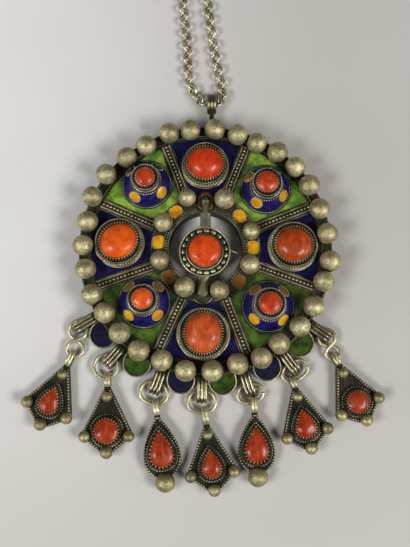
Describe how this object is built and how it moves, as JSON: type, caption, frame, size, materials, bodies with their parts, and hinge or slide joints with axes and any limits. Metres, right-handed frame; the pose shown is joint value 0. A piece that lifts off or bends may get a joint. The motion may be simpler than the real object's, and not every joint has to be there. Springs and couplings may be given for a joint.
{
  "type": "disc pectoral",
  "caption": "Round silver pectoral with enamel fields, coral stones, a rim of balls, a hinged tongue over the open middle, hanging drops and a link chain.",
  "frame": {"origin": "middle of the round opening, on the plane of the flat back", "axes": "+Z out of the decorated face, +Y from the opening to the chain's bail, +X to the right as seen from the front"},
  "size_m": [0.1279, 0.327, 0.017],
  "materials": {
    "silver": "tarnished silver, soft shine",
    "dark_silver": "blackened silver",
    "wire_silver": "worn silver wire",
    "coral": "polished coral",
    "drop_coral": "polished coral, deeper red",
    "blue_enamel": "glossy enamel",
    "green_enamel": "glossy enamel",
    "yellow_enamel": "glossy enamel"
  },
  "bodies": {
    "disc": {"disc_body": "silver", "yellow_enamel": "yellow_enamel", "blue_enamel_n": "blue_enamel", "blue_enamel_e": "blue_enamel", "blue_enamel_s": "blue_enamel", "blue_enamel_w": "blue_enamel", "green_enamel_ne": "green_enamel", "green_enamel_se": "green_enamel", "green_enamel_sw": "green_enamel", "green_enamel_nw": "green_enamel", "dome_enamel_ne": "blue_enamel", "dome_enamel_se": "blue_enamel", "dome_enamel_sw": "blue_enamel", "dome_enamel_nw": "blue_enamel", "coral_n": "coral", "coral_e": "coral", "coral_s": "coral", "coral_w": "coral", "coral_ne": "coral", "coral_se": "coral", "coral_sw": "coral", "coral_nw": "coral", "lobe_enamel_1": "blue_enamel", "lobe_enamel_2": "green_enamel", "lobe_enamel_3": "blue_enamel", "lobe_enamel_4": "green_enamel", "lobe_enamel_5": "blue_enamel", "lobe_enamel_6": "green_enamel", "jump_ring_1": "wire_silver", "jump_ring_2": "wire_silver", "jump_ring_3": "wire_silver", "jump_ring_4": "wire_silver", "jump_ring_5": "wire_silver", "jump_ring_6": "wire_silver", "jump_ring_7": "wire_silver", "drop_1": "dark_silver", "drop_2": "dark_silver", "drop_3": "dark_silver", "drop_4": "dark_silver", "drop_5": "dark_silver", "drop_6": "dark_silver", "drop_7": "dark_silver", "drop_coral_1": "drop_coral", "drop_coral_2": "drop_coral", "drop_coral_3": "drop_coral", "drop_coral_4": "drop_coral", "drop_coral_5": "drop_coral", "drop_coral_6": "drop_coral", "drop_coral_7": "drop_coral", "chain_left": "wire_silver", "chain_right": "wire_silver", "clasp": "wire_silver"},
    "pin": {"tongue": "silver", "coral_centre": "coral"}
  },
  "joints": [
    {"name": "tongue_hinge", "type": "hinge", "parent": "disc", "child": "pin", "pos_m": [0, 0.0174, 0.00575], "axis": [-1, 0, 0], "range_deg": [0, 100]}
  ]
}
